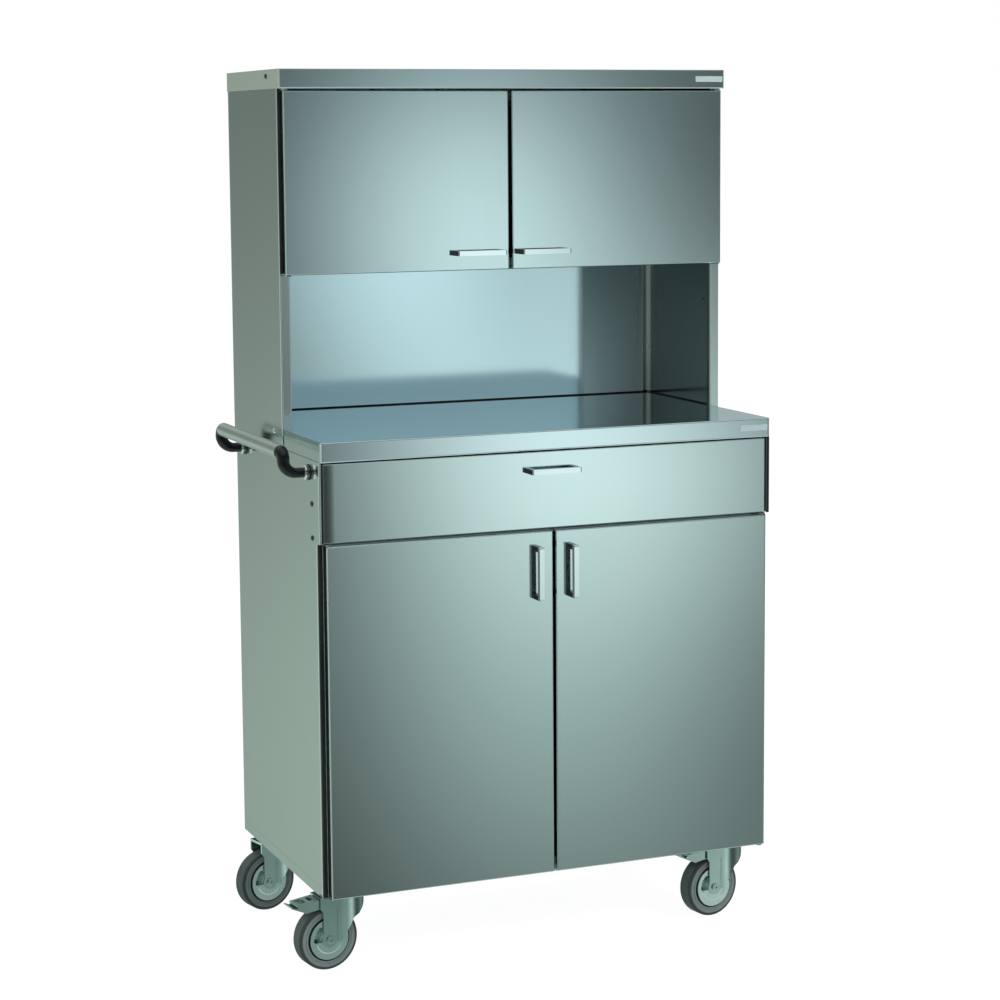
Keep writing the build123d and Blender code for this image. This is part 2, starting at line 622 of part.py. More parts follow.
def tyre():
    """Solid tyre with a rounded shoulder and a ring groove each side of a flat tread."""
    width = WHEEL_RADIUS - RIM_RADIUS
    section = Pos((WHEEL_RADIUS + RIM_RADIUS) / 2, 0) * Rectangle(width, 2 * TREAD_HALF)
    section = fillet(section.vertices().group_by(Axis.X)[-1], SHOULDER)
    radius, across, depth = TYRE_GROOVE
    for side in (-1, 1):
        section -= Pos(radius, side * TREAD_HALF) * Rectangle(across, 2 * depth)
    return Pos(-TRAIL, 0, WHEEL_RADIUS) * revolve(section, axis=Axis.Y)


def brake_pedal():
    """Pedal folded from plate: two cheeks on the cross pin, a press blade above, a lift blade below."""
    cheek = make_face(Polyline((-44, 139), (-54, 143.5), (-103, 138), (-106, 131), (-86, 122),
                               (-46, 127), close=True))
    near = Plane.XZ.offset(PEDAL_HALF) * cheek
    cheeks = extrude(near, amount=-2) + mirror(extrude(near, amount=-2), about=Plane.XZ)
    press = make_face(Polyline((-60, 142.8), (-60, 145.6), (-106, 140.4), (-106, 137.6), close=True))
    lift = make_face(Polyline((-84, 121), (-84, 124), (-117, 138.5), (-117.6, 135.8), close=True))
    blade = extrude(Plane.XZ * press, amount=PEDAL_HALF, both=True)
    for x, length, width in PEDAL_WINDOWS:
        blade -= Pos(x, 0, 130) * extrude(RectangleRounded(length, width, 2.5), amount=20)
    body = cheeks + blade + extrude(Plane.XZ * lift, amount=PEDAL_HALF, both=True)
    x, z = PEDAL_PIVOT
    return body - crosswise(PEDAL_PIN_RADIUS + PIN_CLEARANCE, x, z, -LEG_OUTER, LEG_OUTER)


def caster_place(corner):
    """Where a corner's king pin stands, turned to the way its wheel trails."""
    x = -CASTOR_X if corner.endswith("left") else CASTOR_X
    y = CASTOR_Y[0] if corner.startswith("front") else CASTOR_Y[1]
    return Pos(x, y, 0) * Rot(0, 0, REST_ANGLES[corner])


# Saving

def save(name, solids):
    """One file for a piece, or for a group of alike pieces, in the finished part's frame."""
    pieces = solids if isinstance(solids, list) else [solids]
    moved = [Pos(-ORIGIN_X, -ORIGIN_Y, 0) * piece for piece in pieces]
    shape = moved[0] if len(moved) == 1 else Compound(children=moved)
    export_step(shape, os.path.join("parts", name + ".step"))


def save_pair(name, left):
    save(name + "_left", left)
    save(name + "_right", mirrored(left))


def save_base():
    save_pair("base_side", base_side())
    save("base_back", base_back())
    save("base_floor", base_floor())
    save("caster_rails", caster_rails())
    save("drawer_divider", drawer_divider())
    save("base_shelf", base_shelf())
    save("shelf_pegs", shelf_pegs())
    save("worktop", worktop())
    save("worktop_stiffeners", worktop_stiffeners())
    y = DOOR_THICK / 2
    save("base_hinge_lugs", hinge_lugs(DOOR_EDGE, DOOR_PIVOT_INSET, y, DOOR_FRAME_Y, DOOR_BOTTOM, DOOR_TOP))


def save_hutch():
    save_pair("hutch_side", hutch_side())
    save("hutch_back", hutch_back())
    save("hutch_floor", hutch_floor())
    save("hutch_cap", hutch_cap())
    y = HUTCH_DOOR_Y + HUTCH_DOOR_THICK / 2
    save("hutch_hinge_lugs", hinge_lugs(HUTCH_DOOR_EDGE, HUTCH_PIVOT_INSET, y, HUTCH_FRAME_Y,
                                        HUTCH_DOOR_BOTTOM, HUTCH_DOOR_TOP))


def save_doors():
    skin, liner = door_parts(DOOR_EDGE, DOOR_GAP, 0, DOOR_THICK, DOOR_BOTTOM, DOOR_TOP, DOOR_PIVOT_INSET)
    save_pair("base_door_skin", skin)
    save_pair("base_door_liner", liner)
    save_pair("base_door_handle", Pos(-LOWER_HANDLE_X, 0, LOWER_HANDLE_Z) * Rot(0, 90, 0) * bar_handle())
    skin, liner = door_parts(HUTCH_DOOR_EDGE, HUTCH_DOOR_GAP, HUTCH_DOOR_Y, HUTCH_DOOR_THICK,
                             HUTCH_DOOR_BOTTOM, HUTCH_DOOR_TOP, HUTCH_PIVOT_INSET)
    save_pair("hutch_door_skin", skin)
    save_pair("hutch_door_liner", liner)
    save_pair("hutch_door_handle", Pos(-UPPER_HANDLE_X, HUTCH_DOOR_Y, UPPER_HANDLE_Z) * bar_handle())


def save_drawer():
    save("drawer_front", drawer_front())
    save("drawer_box", drawer_box())
    save("drawer_handle", Pos(0, DRAWER_FRONT_Y, DRAWER_HANDLE_Z) * bar_handle())
    save("runner_packers", runner_packers())
    save_pair("runner_outer", runner_outer())
    save_pair("runner_middle", runner_middle())
    save_pair("runner_inner", runner_inner())


def save_push_bar():
    save("push_bar_tube", push_bar_tube())
    save("push_bar_elbows", push_bar_elbows())
    save("push_bar_collars", push_bar_collars())
    save("push_bar_washers", push_bar_washers())


def save_casters():
    plate, plain, braked = caster_plate(), fork(), brake_fork()
    wheel_rim, wheel_tyre, pedal = rim(), tyre(), brake_pedal()
    plates = []
    for corner in REST_ANGLES:
        place = caster_place(corner)
        plates.append(Pos(place.position) * plate)
        save("fork_" + corner, place * (braked if corner.startswith("front") else plain))
        save("rim_" + corner, place * wheel_rim)
        save("tyre_" + corner, place * wheel_tyre)
        if corner.startswith("front"):
            save("brake_pedal_" + corner, place * pedal)
    save("caster_plates", plates)


def main():
    os.makedirs("parts", exist_ok=True)
    save_base()
    save_hutch()
    save_doors()
    save_drawer()
    save_push_bar()
    save_casters()


main()
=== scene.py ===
import json
import math

import bmesh
import bpy
from mathutils import Matrix, Vector


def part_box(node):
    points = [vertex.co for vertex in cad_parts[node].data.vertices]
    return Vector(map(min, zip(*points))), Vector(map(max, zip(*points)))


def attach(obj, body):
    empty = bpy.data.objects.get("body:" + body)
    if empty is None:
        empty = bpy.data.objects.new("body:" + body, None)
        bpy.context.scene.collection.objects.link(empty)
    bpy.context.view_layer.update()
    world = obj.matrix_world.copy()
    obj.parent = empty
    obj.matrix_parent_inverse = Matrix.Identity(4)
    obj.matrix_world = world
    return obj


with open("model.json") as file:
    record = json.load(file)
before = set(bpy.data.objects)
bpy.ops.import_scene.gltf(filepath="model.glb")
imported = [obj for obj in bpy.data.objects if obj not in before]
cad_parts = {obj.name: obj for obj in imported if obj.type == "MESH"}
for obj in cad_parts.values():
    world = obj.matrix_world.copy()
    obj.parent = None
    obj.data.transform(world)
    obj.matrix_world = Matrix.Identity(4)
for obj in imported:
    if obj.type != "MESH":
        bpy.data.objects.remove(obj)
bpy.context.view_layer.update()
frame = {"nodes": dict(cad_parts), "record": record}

nodes = frame["nodes"]
joints = {joint["name"]: joint for joint in frame["record"]["behaviour"]["joints"]}
MM = 0.001
MIDDLE = 31.4       # the cabinet's own middle in the shared frame, in millimetres
SIDES = (("left", -1.0), ("right", 1.0))
WHEELS = ("front_left", "front_right", "rear_left", "rear_right")

# Camera, from the fit to the photograph's straight edges: metres, degrees and millimetres of lens
CAMERA_PLACE = (-1.8695, -4.6288, 1.6251)
CAMERA_YAW = 22.31
CAMERA_PITCH = 6.888
CAMERA_ROLL = -0.435
CAMERA_LENS = 88.04
CAMERA_SHIFT = -0.07

WHITE = (1.0, 1.0, 1.0)

# Soft light panels that the metal sees: azimuth from the front towards +X and elevation of the centre,
# half widths of both, in degrees, then strength and colour
PANELS = (
    (21.6, -1.9, 3.2, 3.5, 1.00, (0.80, 1.0, 1.04)),
    (24.6, -7.4, 4.7, 3.8, 0.72, (0.83, 1.0, 1.00)),
    (23.4, -12.4, 4.7, 6.1, 0.47, (0.78, 1.0, 0.98)),
    (22.0, 10.3, 9.0, 5.5, 0.58, (0.70, 1.0, 1.13)),
    (31.0, 7.0, 4.5, 3.0, 0.50, (0.88, 1.0, 0.98)),
    (38.0, -24.0, 8.0, 6.0, 0.80, (0.78, 1.0, 0.95)),
    (23.0, -3.0, 16.0, 15.0, -0.034, (0.86, 1.0, 0.97)),
    (-19.0, -3.0, 9.0, 14.0, 0.20, (0.80, 1.0, 1.02)),
    (152.5, 6.8, 4.5, 4.0, 0.36, (0.84, 1.0, 1.0)),
    (0.0, -4.0, 7.0, 20.0, 0.34, (0.80, 1.0, 1.0)),
    (52.0, -12.0, 5.0, 16.0, 1.10, (0.90, 1.0, 1.0)),
    (90.0, -4.0, 14.0, 24.0, 0.34, (0.82, 1.0, 1.0)),
    (134.0, -4.0, 14.0, 24.0, 0.45, (0.86, 1.0, 0.98)),
    (176.0, -4.0, 12.0, 24.0, 0.34, (0.86, 1.0, 0.98)),
    (-146.0, -16.0, 20.0, 13.0, 0.53, (0.78, 1.0, 0.87)),
    (-110.0, -8.0, 38.0, 26.0, 0.68, (0.84, 1.0, 0.92)),
    (-163.0, 36.0, 34.0, 16.0, 0.40, (0.86, 1.0, 0.93)),
    (-50.0, -6.0, 13.0, 24.0, 0.36, (0.82, 1.0, 1.0)),
)


# Shader sums

class Term:
    """A socket that can stand in a Python sum. Each operator adds its Math node."""

    def __init__(self, maker, socket):
        self.maker = maker
        self.socket = socket

    def math(self, operation, *others):
        inputs = {0: self, **dict(enumerate(others, 1))}
        return self.maker.node("ShaderNodeMath", {"operation": operation}, inputs)

    def __add__(self, other):
        return self.math("ADD", other)

    def __mul__(self, other):
        return self.math("MULTIPLY", other)

    def __sub__(self, other):
        return self.math("SUBTRACT", other)

    def __truediv__(self, other):
        return self.math("DIVIDE", other)

    def __rsub__(self, other):
        return self.maker.node("ShaderNodeMath", {"operation": "SUBTRACT"}, {0: other, 1: self})

    def __neg__(self):
        return self * -1.0

    __radd__ = __add__
    __rmul__ = __mul__

    def hump(self, width):
        """1 where the term is 0, falling off on both sides within about the width."""
        ratio = self / width
        return (-(ratio * ratio)).math("EXPONENT")

    def ramp(self, low, high):
        """0 below low, 1 above high, smooth between."""
        ranges = {"From Min": low, "From Max": high, "Value": self}
        return self.maker.node("ShaderNodeMapRange", {"interpolation_type": "SMOOTHSTEP"}, ranges)


class Maker:
    """Adds nodes to a material's or the world's tree."""

    def __init__(self, tree):
        self.tree = tree
        tree.nodes.clear()

    def node(self, kind, settings=None, inputs=None, output=0):
        """A node with its settings, its inputs' values or links, and the output that stands for it."""
        made = self.tree.nodes.new(kind)
        for name, value in (settings or {}).items():
            setattr(made, name, value)
        for name, value in (inputs or {}).items():
            if isinstance(value, Term):
                self.tree.links.new(value.socket, made.inputs[name])
            else:
                made.inputs[name].default_value = value
        return Term(self, made.outputs[output]) if made.outputs else made

    def blend(self, factor, first, second, kind="MIX"):
        """Colour mix. A plain colour is three numbers."""
        colours = [c if isinstance(c, Term) else (*c, 1.0) for c in (first, second)]
        settings = {"data_type": "RGBA", "blend_type": kind}
        return self.node("ShaderNodeMix", settings, {0: factor, 6: colours[0], 7: colours[1]}, 2)

    def vector(self, operation, first, second, output=0):
        return self.node("ShaderNodeVectorMath", {"operation": operation}, {0: first, 1: second}, output)

    def scaled(self, colour, factor):
        """Colour times a number."""
        return self.node("ShaderNodeVectorMath", {"operation": "SCALE"}, {0: colour, 3: factor})

    def spot(self):
        """Object coordinates."""
        return self.node("ShaderNodeTexCoord", output=3)

    def along(self, axis):
        """Object coordinate x, y or z as a number: 0, 1 or 2."""
        return self.node("ShaderNodeSeparateXYZ", None, {0: self.spot()}, axis)

    def place(self, scale=(1.0, 1.0, 1.0)):
        """Object coordinates, stretched."""
        return self.node("ShaderNodeMapping", None, {"Vector": self.spot(), "Scale": scale})

    def noise(self, scale, detail=2.0, stretch=(1.0, 1.0, 1.0), roughness=0.5):
        inputs = {"Vector": self.place(stretch), "Scale": scale, "Detail": detail, "Roughness": roughness}
        return self.node("ShaderNodeTexNoise", None, inputs)


def start(name):
    material = bpy.data.materials.new(name)
    material.use_nodes = True
    return material, Maker(material.node_tree)


def finish(material, maker, colour, roughness, metallic, normal):
    """Ends a material with its Principled BSDF."""
    inputs = {"Base Color": colour, "Roughness": roughness, "Metallic": metallic, "Normal": normal}
    surface = maker.node("ShaderNodeBsdfPrincipled", None, inputs)
    maker.node("ShaderNodeOutputMaterial", None, {"Surface": surface})
    return material


def bump(maker, height, distance, strength=1.0):
    return maker.node("ShaderNodeBump", None, {"Height": height, "Distance": distance, "Strength": strength})


def tinted(colour, factor):
    return tuple(min(part * factor, 1.0) for part in colour)


# Finishes. Where there are two colours, the finish varies between them

STEEL = (0.78, 0.87, 0.85)
PALE_STEEL = (0.84, 0.93, 0.91)
SIDE_STEEL = (0.80, 0.86, 0.83)
BACK_STEEL = (0.68, 0.81, 0.83)
# Painted light: the bluer, duller strip by the niche's right corner stands in for the light reflected there
BACK_CORNER_PAINTED_LIGHT = (0.62, 0.83, 0.87)
# Painted shade: the niche's inner walls take this dark colour in place of the shade they lie in
NICHE_WALL_SHADE = (0.25, 0.265, 0.26)
# Partly painted shade: the cap's ends take a darker, yellower tone for how they are lit
CAP_END_SHADE_TONE = (0.70, 0.75, 0.66)
WORKTOP_STEEL = (0.80, 0.88, 0.90)
INSIDE_STEEL = (0.66, 0.71, 0.70)
CHROME = (0.93, 0.96, 0.95)
SHADED_CHROME = (0.05, 0.06, 0.06)
LEG_ZINC = (0.56, 0.73, 0.68)
GUARD_ZINC = (0.80, 0.95, 0.91)
STAINED_ZINC = (0.45, 0.62, 0.57)
RIM_ZINC = ((0.52, 0.71, 0.66), (0.61, 0.81, 0.76))
RIM_SHADOW = (0.03, 0.04, 0.04)
TYRE_WALL = ((0.20, 0.25, 0.25), (0.25, 0.30, 0.295))
TYRE_TREAD = ((0.060, 0.083, 0.081), (0.10, 0.125, 0.12))
# Painted shade on the tyre's rounded shoulder
TYRE_SHOULDER_SHADE = (0.045, 0.058, 0.058)
TYRE_SHADOW = (0.008, 0.011, 0.011)
COLLAR_STEEL = (0.92, 0.94, 0.93)
# Knurled sleeve, painted darkest in its pits as shade
KNURL_STEEL_AND_PIT_SHADE = ((0.04, 0.05, 0.05), (0.22, 0.25, 0.24))
GRAIN_UP = (1.0, 1.0, 0.012)
GRAIN_ACROSS = (0.012, 1.0, 1.0)

# Pattern scales, in features per metre
GRAIN_SCALE = 900.0
CLOUD_SCALE = 4.0
SMEAR_SCALE = 60.0
ZINC_SCALE = 45.0
SPANGLE_SCALE = 240.0
KNURL_SCALE = 420.0
TEXTURE_SCALE = 700.0
PLASTIC_DUST_SCALE = 18.0
TYRE_DUST_SCALE = 22.0

# Millimetres in from a piece's end at which its end face stops: rolled sheet, flat panel, handle bar
ROLLED_SKIN = (0.3, 0.8)
PANEL_SKIN = (0.3, 0.9)
BAR_SKIN = (0.4, 1.0)

# Places on the sheets, in metres of the shared frame. Each pair is where a change starts and ends
SIDE_CREASE = (0.1780, 0.1796)      # height of the faint crease above the floor pan's weld
CREASE_DEPTH = 0.00012
PAINTED_LIGHT_STRIP = (0.338, 0.364)         # x of the strip of painted light on the niche's back
PAINTED_LIGHT_FADE = (0.37, 0.50)
BACK_LEAN = 0.014
INNER_FACE = (0.4800, 0.4806)       # from the cabinet's middle
WALL_FRONT = (-0.040, -0.036)       # y just behind the front flange
WALL_BACK = (0.280, 0.286)          # y just before the back flange

# Millimetres that a front edge's roll reaches back over an end face and over a side panel
CHEEK_RADIUS = 7.0
SIDE_RADIUS = 6.0

# Millimetres from the front of a handle to the back of its bar
HANDLE_BACK = (9.2, 10.0)

# Millimetres from a wheel's axle
RIM_GAP = (37.5, 39.0)
GUARD_EDGE = (42.0, 43.0)
TYRE_GAP = (44.0, 45.0)
TYRE_SHOULDER = (55.0, 57.5)
TREAD = (60.8, 62.0)

# Millimetres from a wheel's middle, along its axle
TREAD_HALF = (11.0, 13.0)
GUARD_FACE = (20.8, 22.2)           # the guard's face lies inside, the legs outside

# Millimetres from the outer end of a push bar collar to the end of its bright flange
COLLAR_FLANGE = (4.3, 4.7)


def soft_fold(maker, axis, edge, radius, steepness, inward):
    """Height that rolls a sheet's edge over. inward is 1 where the sheet lies above the edge, -1 below."""
    near = ((maker.along(axis) - edge) * (inward / radius)).math("MINIMUM", 1.0).math("MAXIMUM", 0.0)
    short = 1.0 - near
    return short * short * (-0.5 * steepness * radius)


def at_low_end(maker, node, axis, skin):
    """1 on the face at a node's low end along an axis."""
    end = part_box(node)[0][axis]
    return 1.0 - maker.along(axis).ramp(end + skin[0] * MM, end + skin[1] * MM)


def at_high_end(maker, node, axis, skin):
    """1 on the face at a node's high end along an axis."""
    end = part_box(node)[1][axis]
    return maker.along(axis).ramp(end - skin[1] * MM, end - skin[0] * MM)


def rolled(node, rolls):
    """Heights of a node's rolled edges. A roll is an axis, its end (0 low, 1 high), a radius in mm and
    a steepness."""
    def height(maker):
        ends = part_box(node)
        total = 0.0
        for axis, end, radius, steepness in rolls:
            total = total + soft_fold(maker, axis, ends[end][axis], radius * MM, steepness, 1.0 - 2.0 * end)
        return total
    return height


def cheek_rolled(node, rolls):
    """Rolled edges, and the rolled front edge of the end faces."""
    def height(maker):
        ends = at_low_end(maker, node, 0, ROLLED_SKIN) + at_high_end(maker, node, 0, ROLLED_SKIN)
        cheek = soft_fold(maker, 1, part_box(node)[0][1], CHEEK_RADIUS * MM, 1.0, 1.0) * ends
        return rolled(node, rolls)(maker) + cheek
    return height


def side_rolled(steps):
    """Rolled front edges of a side panel. A step is an edge's y and the heights that it runs between."""
    def height(maker):
        total = 0.0
        up = maker.along(2)
        for edge, bottom, top in steps:
            level = up.ramp(bottom - MM, bottom) * (1.0 - up.ramp(top, top + MM))
            total = total + soft_fold(maker, 1, edge, SIDE_RADIUS * MM, 1.2, 1.0) * level
        return total + up.ramp(*SIDE_CREASE) * CREASE_DEPTH
    return height


def satin_steel(name, colour, roughness, grain, depth=0.000003, ground=None, painted_shading_colour=STEEL,
                dulling=0.30, outside=None, relief=None):
    """Stainless sheet with a fine brushed grain and a faint cloudiness. ground is 1 where its finish differs:
    duller, and in a colour painted as light or shade there. outside is 1 on a face that has the side panels'
    tone, and relief is a height over the sheet."""
    material, maker = start(name)
    lines = maker.noise(GRAIN_SCALE, 3.0, grain, 0.6)
    broad = maker.noise(CLOUD_SCALE)
    tone = maker.blend(lines * 0.3 + broad * 0.7, tinted(colour, 0.975), tinted(colour, 1.02))
    if outside is not None:
        tone = maker.blend(outside(maker), tone, SIDE_STEEL)
    gloss = roughness + (lines - 0.5) * 0.025 + (broad - 0.5) * 0.02
    metallic = 1.0
    if ground is not None:
        # Where ground is 1 the colour is painted: shade on the niche's walls and the cap's ends, light by the
        # niche's right corner
        dull = ground(maker)
        tone = maker.blend(dull, tone, painted_shading_colour)
        gloss = gloss + dull * min(dulling, 0.30)
        metallic = 1.0 - dull * dulling
    height = lines * depth
    if relief is not None:
        height = height + relief(maker)
    return finish(material, maker, tone, gloss, metallic, bump(maker, height, 1.0))


def cap_ends(maker):
    """1 on the cap's end faces, which are ground duller than its front and painted a darker, yellower tone as
    shade.
    """
    return at_low_end(maker, "hutch_cap", 0, PANEL_SKIN) + at_high_end(maker, "hutch_cap", 0, PANEL_SKIN)


def back_outside(maker):
    """1 on the outer face of the hutch's back."""
    return 1.0 - at_low_end(maker, "hutch_back", 1, PANEL_SKIN)


def back_corner_painted_light(maker):
    """1 in the strip by its right corner where the hutch's back is painted duller and bluer as painted light,
    less towards the corner itself.
    """
    along = maker.along(0)
    return along.ramp(*PAINTED_LIGHT_STRIP) * (1.0 - along.ramp(*PAINTED_LIGHT_FADE) * 0.45) * (1.0 - back_outside(maker))


def niche_wall_shade(maker):
    """1 on the inner face of each of the hutch's panels, between its front and its back flange, where the
    walls are painted dark as shade.
    """
    inner = 1.0 - (maker.along(0) - MIDDLE * MM).math("ABSOLUTE").ramp(*INNER_FACE)
    return inner * maker.along(1).ramp(*WALL_FRONT) * (1.0 - maker.along(1).ramp(*WALL_BACK))


def back_bow(maker):
    """The hutch's back is not quite flat: its inner face leans towards the right by under a degree."""
    return maker.along(0).math("SMOOTH_MIN", 0.25, 0.15) * -BACK_LEAN * (1.0 - back_outside(maker))


def handle_shade(node, level):
    """How dark a handle is on its feet and behind its bar. A level one is less so there, but dark on its
    left end."""
    def shade(maker):
        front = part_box(node)[0][1]
        dark = maker.along(1).ramp(front + HANDLE_BACK[0] * MM, front + HANDLE_BACK[1] * MM)
        if level:
            dark = (dark * 0.6).math("MAXIMUM", at_low_end(maker, node, 0, BAR_SKIN))
        return dark
    return shade


def polished(name, colour, roughness, shade=None):
    """Polished bar with faint wiping marks. shade is 1 where the bar is dark."""
    material, maker = start(name)
    smear = maker.noise(SMEAR_SCALE, 3.0)
    tone = maker.blend(smear, tinted(colour, 0.96), colour)
    if shade is not None:
        tone = maker.blend(shade(maker), tone, SHADED_CHROME)
    return finish(material, maker, tone, roughness + smear * 0.04, 1.0, bump(maker, smear, 0.00001, 0.2))


def zinc_plate(name, colour, roughness, metallic):
    """Zinc plating with its spangle and a little dulling."""
    material, maker = start(name)
    cells = {"Vector": maker.place(), "Scale": SPANGLE_SCALE}
    spangle = maker.node("ShaderNodeTexVoronoi", {"feature": "F1"}, cells, 1)
    dull = maker.noise(ZINC_SCALE, 4.0)
    tone = maker.blend(dull, tinted(colour, 0.9), tinted(colour, 1.05))
    tone = maker.blend(0.06, tone, spangle, "SOFT_LIGHT")
    return finish(material, maker, tone, roughness + dull * 0.1, metallic, bump(maker, dull, 0.00003, 0.3))


def moulded(name, colour, roughness, grain=0.00003):
    """Moulded plastic or rubber with a fine texture and slight dust."""
    material, maker = start(name)
    fine = maker.noise(TEXTURE_SCALE)
    dust = maker.noise(PLASTIC_DUST_SCALE, 4.0)
    tone = maker.blend(dust.ramp(0.35, 0.8), colour, tinted(colour, 1.2))
    return finish(material, maker, tone, roughness + dust * 0.08, 0.0, bump(maker, fine, grain, 0.5))


def from_axle(maker, wheel):
    """Distance from a wheel's axle, and along it from the wheel's middle, both in mm."""
    joint = joints[f"wheel_{wheel}_spin"]
    axis = Vector(joint["axis"]).normalized()
    offset = maker.vector("SUBTRACT", maker.spot(), tuple(joint["pos_m"]))
    across = maker.vector("DOT_PRODUCT", offset, tuple(axis), 1)
    radial = maker.vector("SUBTRACT", offset, maker.scaled(tuple(axis), across))
    radius = maker.node("ShaderNodeVectorMath", {"operation": "LENGTH"}, {0: radial}, 1) * 1000.0
    return radius, across.math("ABSOLUTE") * 1000.0


def pressed_fork(wheel):
    """Zinc-plated fork whose thread guards, next to the wheel, are paler than its legs."""
    material, maker = start("zinc_fork_" + wheel)
    radius, side = from_axle(maker, wheel)
    guard = (1.0 - side.ramp(*GUARD_FACE)) * (1.0 - radius.ramp(*GUARD_EDGE))
    dull = maker.noise(ZINC_SCALE, 4.0)
    tone = maker.blend(guard, LEG_ZINC, GUARD_ZINC)
    tone = maker.blend(dull * 0.5, tone, STAINED_ZINC)
    return finish(material, maker, tone, 0.13 + dull * 0.1, 0.95, bump(maker, dull, 0.00003, 0.3))


def wheel_rim(wheel):
    """Zinc-plated rim, dark in the gap next to its tyre."""
    material, maker = start("zinc_rim_" + wheel)
    radius = from_axle(maker, wheel)[0]
    dull = maker.noise(ZINC_SCALE, 4.0)
    tone = maker.blend(dull, *RIM_ZINC)
    tone = maker.blend(radius.ramp(*RIM_GAP), tone, RIM_SHADOW)
    return finish(material, maker, tone, 0.34 + dull * 0.1, 0.5, bump(maker, dull, 0.00003, 0.3))


def wheel_rubber(wheel):
    """Grey tyre with a darker tread, a shoulder painted dark as shade, and a painted shadow in the gap next
    to its rim.
    """
    material, maker = start("grey_tyre_" + wheel)
    radius, side = from_axle(maker, wheel)
    fine = maker.noise(TEXTURE_SCALE)
    dust = maker.noise(TYRE_DUST_SCALE, 4.0)
    wall = maker.blend(dust.ramp(0.3, 0.8), *TYRE_WALL)
    tread = maker.blend(dust.ramp(0.3, 0.8), *TYRE_TREAD)
    tone = maker.blend(radius.ramp(*TYRE_SHOULDER), wall, TYRE_SHOULDER_SHADE)
    tone = maker.blend(radius.ramp(*TREAD) * (1.0 - side.ramp(*TREAD_HALF)), tone, tread)
    tone = maker.blend(1.0 - radius.ramp(*TYRE_GAP), tone, TYRE_SHADOW)
    return finish(material, maker, tone, 0.5 + dust * 0.1, 0.0, bump(maker, fine, 0.00005, 0.4))


def knurled_collar():
    """Collar with a bright flange and a dark knurled sleeve next to the panel, painted darkest in its pits as
    shade.
    """
    material, maker = start("push_bar_collar")
    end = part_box("push_bar_collars")[0][0]
    sleeve = maker.along(0).ramp(end + COLLAR_FLANGE[0] * MM, end + COLLAR_FLANGE[1] * MM)
    pattern = {"Vector": maker.place(), "Scale": KNURL_SCALE}
    cells = maker.node("ShaderNodeTexVoronoi", {"feature": "F1"}, pattern)
    knurls = maker.blend(cells.ramp(0.2, 0.5), *KNURL_STEEL_AND_PIT_SHADE)
    tone = maker.blend(sleeve, COLLAR_STEEL, knurls)
    return finish(material, maker, tone, 0.12 + sleeve * 0.2, 1.0, bump(maker, sleeve * cells, 0.0003, 0.8))


# Rolled edges of the doors, the drawer's front, and the corners of the worktop and the cap
DOOR_ROLLS = ((0, 0, 4.0, 3.0), (0, 1, 3.0, 1.4), (2, 0, 2.0, 1.0), (2, 1, 2.5, 1.2))
DRAWER_ROLLS = ((0, 0, 24.0, 0.055), (0, 1, 3.0, 1.4), (2, 0, 2.0, 1.0), (2, 1, 2.5, 1.2))
CORNER_ROLLS = ((0, 0, 4.0, 0.9), (0, 1, 4.0, 0.9), (2, 0, 2.4, 1.0))

# Front edges of the side panels: y, and the heights it runs between, in metres
BASE_STEPS = ((-0.2496, 0.158, 0.853), (-0.2666, 0.855, 1.012))
HUTCH_STEPS = ((-0.0421, 1.012, 1.745),)

FINISHES = {
    "edge": satin_steel("steel_hutch_floor", PALE_STEEL, 0.11, GRAIN_ACROSS),
    "drawer": satin_steel("steel_drawer_front", PALE_STEEL, 0.11, GRAIN_ACROSS,
                          relief=rolled("drawer_front", DRAWER_ROLLS)),
    "side": satin_steel("steel_base_sides", SIDE_STEEL, 0.13, GRAIN_UP, relief=side_rolled(BASE_STEPS)),
    "hutch_side": satin_steel("steel_hutch_sides", SIDE_STEEL, 0.13, GRAIN_UP, ground=niche_wall_shade,
                              painted_shading_colour=NICHE_WALL_SHADE, dulling=0.0,
                              relief=side_rolled(HUTCH_STEPS)),
    "cap": satin_steel("steel_cap", STEEL, 0.12, GRAIN_ACROSS, ground=cap_ends, painted_shading_colour=CAP_END_SHADE_TONE,
                       relief=cheek_rolled("hutch_cap", CORNER_ROLLS)),
    "back": satin_steel("steel_hutch_back", BACK_STEEL, 0.10, GRAIN_UP, ground=back_corner_painted_light,
                        painted_shading_colour=BACK_CORNER_PAINTED_LIGHT, dulling=0.50, outside=back_outside,
                        relief=back_bow),
    "top": satin_steel("steel_worktop", WORKTOP_STEEL, 0.09, GRAIN_ACROSS, 0.000002,
                       relief=cheek_rolled("worktop", CORNER_ROLLS)),
    "inside": satin_steel("steel_inside", INSIDE_STEEL, 0.30, GRAIN_ACROSS),
    "chrome": polished("polished_bar", CHROME, 0.07),
    "tube": polished("brushed_tube", (0.86, 0.93, 0.88), 0.34),
    "collar": knurled_collar(),
    "zinc": zinc_plate("zinc_plate", (0.57, 0.73, 0.68), 0.15, 0.95),
    # Caster plates under the base are painted dark as the shade they sit in
    "shaded_zinc": zinc_plate("zinc_painted_shade", (0.09, 0.11, 0.11), 0.40, 0.50),
    # Dark screw heads, darker than plain plating
    "screw": zinc_plate("dark_screw", (0.07, 0.09, 0.09), 0.22, 0.90),
    "elbow": moulded("black_gloss_plastic", (0.003, 0.003, 0.004), 0.13, 0.00001),
    # Black rubber for the washers and beads, also painted shade for the gap strips and the holes in the
    # niche's walls
    "rubber_and_painted_shade": moulded("black_rubber_and_painted_shade", (0.008, 0.009, 0.010), 0.5),
    "plate": zinc_plate("blank_plate", (0.70, 0.84, 0.84), 0.28, 0.4),
}
